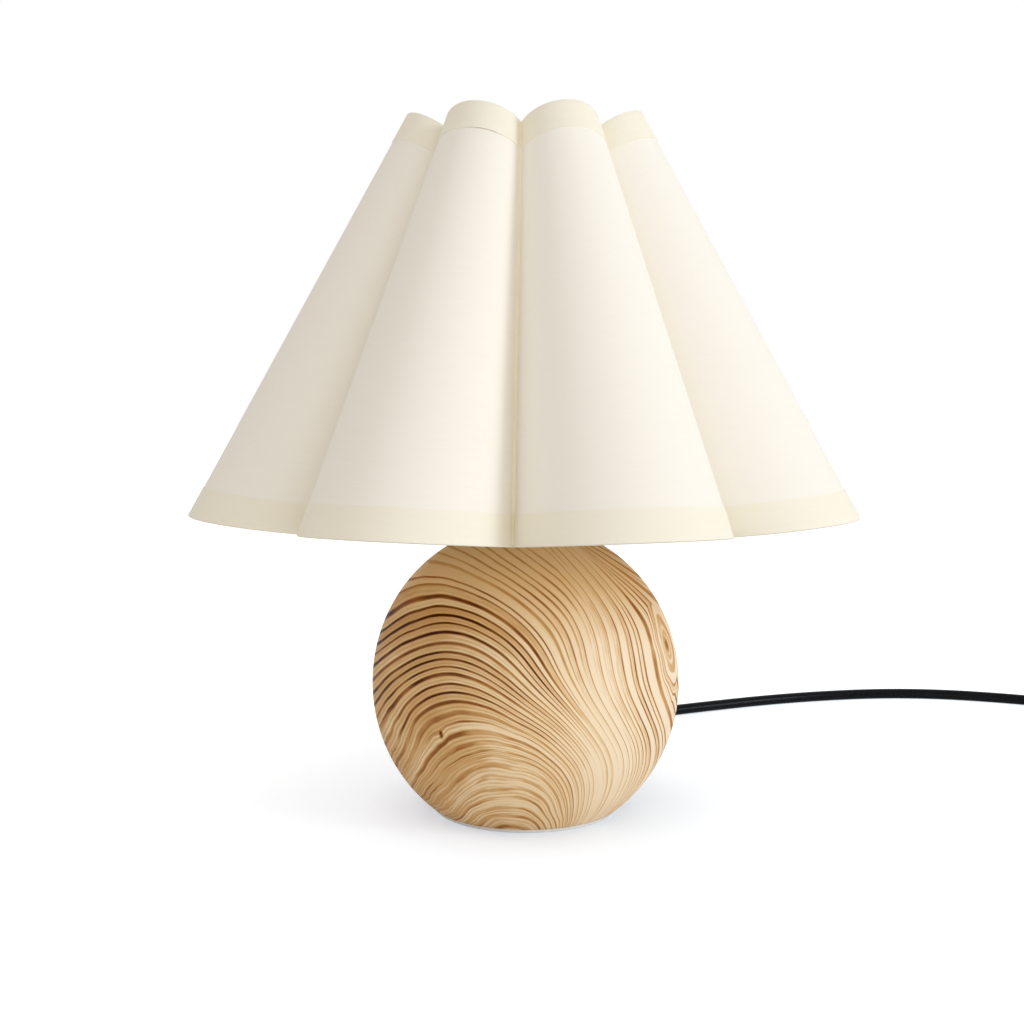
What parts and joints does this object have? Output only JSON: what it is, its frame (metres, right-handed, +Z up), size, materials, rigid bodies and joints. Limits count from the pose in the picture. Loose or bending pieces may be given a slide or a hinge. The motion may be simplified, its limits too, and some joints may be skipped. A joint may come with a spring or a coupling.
{
  "type": "bedside lamp",
  "caption": "Bedside lamp: cream lobed fabric shade on a turned wood ball, with lampholder, bulb, mains cord, in-line switch and plug.",
  "frame": {"origin": "on the floor, under the middle of the ball", "axes": "+Z up, the lamp faces -Y, +X to the right in the picture"},
  "size_m": [0.4298, 0.3351, 0.2582],
  "materials": {
    "shade": "matt cream cloth on a stiff backing",
    "trim": "matt hem tape",
    "wood": "satin lacquer over strong grain",
    "foot": "white plastic",
    "cord": "gloss black sheath",
    "wire": "insulated wire",
    "black": "black moulding",
    "steel": "zinc plated",
    "brass": "bright brass",
    "frame": "white coated wire",
    "holder": "white moulding",
    "ceramic": "pale insulating block",
    "nickel": "nickel plated",
    "glassblack": "dark insulator",
    "opal": "opal plastic",
    "board": "white coated board"
  },
  "bodies": {
    "base": {"ball_base": "wood", "centre_contact": "brass", "coil_tie": "black", "cord": "cord", "cord_bush": "black", "cord_coil": "cord", "cord_link": "cord", "cord_tail": "cord", "foot_disc": "foot", "holder_body": "holder", "holder_cap": "holder", "inner_lead": "cord", "inner_wires": "wire", "lamp_pipe": "steel", "low_nut": "steel", "low_washer": "steel", "plug_body": "black", "plug_pins": "nickel", "plug_relief": "black", "screw_shell": "brass", "switch_lower": "black", "switch_screws": "steel", "switch_terminals": "brass", "switch_upper": "black", "terminal_block": "ceramic", "terminal_screws": "steel", "top_nut": "brass", "top_washer": "brass"},
    "shade": {"shade_sheet": "shade", "bottom_trim": "trim", "top_trim": "trim", "bottom_ring": "frame", "top_ring": "frame", "struts": "frame", "fitter_plate": "frame", "fitter_arms": "frame"},
    "shade_ring": {"shade_ring": "holder"},
    "bulb_tip": {"bulb_contact": "nickel", "bulb_insulator": "glassblack"},
    "bulb": {"bulb_cap": "nickel", "bulb_housing": "opal", "led_board": "board", "bulb_globe": "opal"},
    "rocker": {"switch_rocker": "black"}
  },
  "joints": [
    {"name": "shade_swivel", "type": "hinge", "parent": "base", "child": "shade", "pos_m": [0, 0, 0.1442], "axis": [0, 0, 1], "continuous": true},
    {"name": "shade_ring_turn", "type": "hinge", "parent": "base", "child": "shade_ring", "pos_m": [0, 0, 0.15], "axis": [0, 0, 1], "range_deg": [0, 900]},
    {"name": "bulb_lift", "type": "slide", "parent": "base", "child": "bulb_tip", "axis": [0, 0, 1], "range_m": [0, 0.01814]},
    {"name": "bulb_turn", "type": "hinge", "parent": "bulb_tip", "child": "bulb", "pos_m": [0, 0, 0.16], "axis": [0, 0, 1], "range_deg": [0, 1800]},
    {"name": "switch_rock", "type": "hinge", "parent": "base", "child": "rocker", "pos_m": [0.292, 0.073, 0.0145], "axis": [1, 0, 0], "range_deg": [-16, 0]}
  ],
  "couplings": [
    {"joint": "bulb_turn", "follows": "bulb_lift", "rad_per_m": 1731.4}
  ]
}
